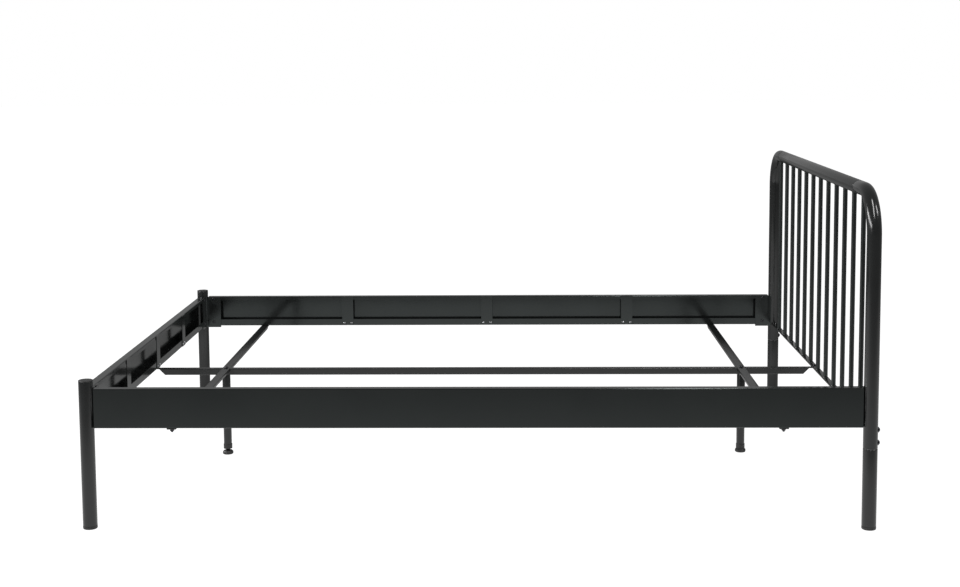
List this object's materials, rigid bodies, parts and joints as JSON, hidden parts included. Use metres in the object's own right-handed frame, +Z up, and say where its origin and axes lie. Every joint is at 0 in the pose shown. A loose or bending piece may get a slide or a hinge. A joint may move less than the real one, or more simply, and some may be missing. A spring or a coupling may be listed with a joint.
{
  "type": "metal bed frame",
  "caption": "Double bed frame of black steel: bent-tube headboard with round spindles, short foot posts, C-section rails, and a centre beam on cross bars with adjustable support legs.",
  "frame": {"origin": "on the floor, midway between the axes of the four posts", "axes": "+X towards the headboard, +Z up, +Y to the left of someone who stands at the foot and looks at the headboard"},
  "size_m": [2.0928, 1.488, 0.9009],
  "materials": {
    "headboard_paint": "semi-gloss black powder coat on bent tube",
    "spindle_paint": "satin black powder coat",
    "post_paint": "satin black powder coat",
    "rail_paint": "satin black powder coat on folded sheet",
    "plate_paint": "semi-gloss black powder coat on cut plate",
    "beam_paint": "satin black powder coat",
    "sleeve_steel": "bare tube inside the joints",
    "black_plastic": "moulded black plastic with fine grain",
    "black_zinc": "black zinc plated fasteners",
    "bright_zinc": "bright zinc plated steel"
  },
  "bodies": {
    "bed_frame": {"beam_end_screws": "black_zinc", "centre_beam": "beam_paint", "cross_bar_bolts": "black_zinc", "cross_bar_foot_end": "beam_paint", "cross_bar_head_end": "beam_paint", "foot_corner_bracket_left": "plate_paint", "foot_corner_bracket_right": "plate_paint", "foot_post_cap_left": "black_plastic", "foot_post_cap_right": "black_plastic", "foot_post_left": "post_paint", "foot_post_right": "post_paint", "foot_rail": "rail_paint", "foot_rail_stiffeners": "plate_paint", "frame_nuts": "black_zinc", "glide_foot_left": "black_plastic", "glide_foot_right": "black_plastic", "glide_head_left": "black_plastic", "glide_head_right": "black_plastic", "head_rail_bracket_left": "plate_paint", "head_rail_bracket_right": "plate_paint", "headboard_bottom_bar": "headboard_paint", "headboard_corner_post_left": "headboard_paint", "headboard_corner_post_right": "headboard_paint", "headboard_leg_sleeve_left": "sleeve_steel", "headboard_leg_sleeve_right": "sleeve_steel", "headboard_lower_leg_left": "post_paint", "headboard_lower_leg_right": "post_paint", "headboard_post_bolts": "black_zinc", "headboard_post_washers": "black_zinc", "headboard_spindle_01": "spindle_paint", "headboard_spindle_02": "spindle_paint", "headboard_spindle_03": "spindle_paint", "headboard_spindle_04": "spindle_paint", "headboard_spindle_05": "spindle_paint", "headboard_spindle_06": "spindle_paint", "headboard_spindle_07": "spindle_paint", "headboard_spindle_08": "spindle_paint", "headboard_spindle_09": "spindle_paint", "headboard_spindle_10": "spindle_paint", "headboard_spindle_11": "spindle_paint", "headboard_spindle_12": "spindle_paint", "headboard_top_sleeve_left": "sleeve_steel", "headboard_top_sleeve_right": "sleeve_steel", "headboard_top_tube": "headboard_paint", "rail_bolts": "black_zinc", "side_rail_left": "rail_paint", "side_rail_left_stiffeners": "plate_paint", "side_rail_right": "rail_paint", "side_rail_right_stiffeners": "plate_paint", "stiffener_screws": "bright_zinc", "support_leg_bolts": "black_zinc", "support_leg_foot_end": "beam_paint", "support_leg_head_end": "beam_paint", "support_leg_plug_foot_end": "black_plastic", "support_leg_plug_head_end": "black_plastic"},
    "foot_end_leveller": {"levelling_foot_foot_end": "black_plastic"},
    "head_end_leveller": {"levelling_foot_head_end": "black_plastic"}
  },
  "joints": [
    {"name": "foot_end_leveller_height", "type": "slide", "parent": "bed_frame", "child": "foot_end_leveller", "axis": [0, 0, 1], "range_m": [-0.0138, 0.0062]},
    {"name": "head_end_leveller_height", "type": "slide", "parent": "bed_frame", "child": "head_end_leveller", "axis": [0, 0, 1], "range_m": [-0.02, 0]}
  ]
}
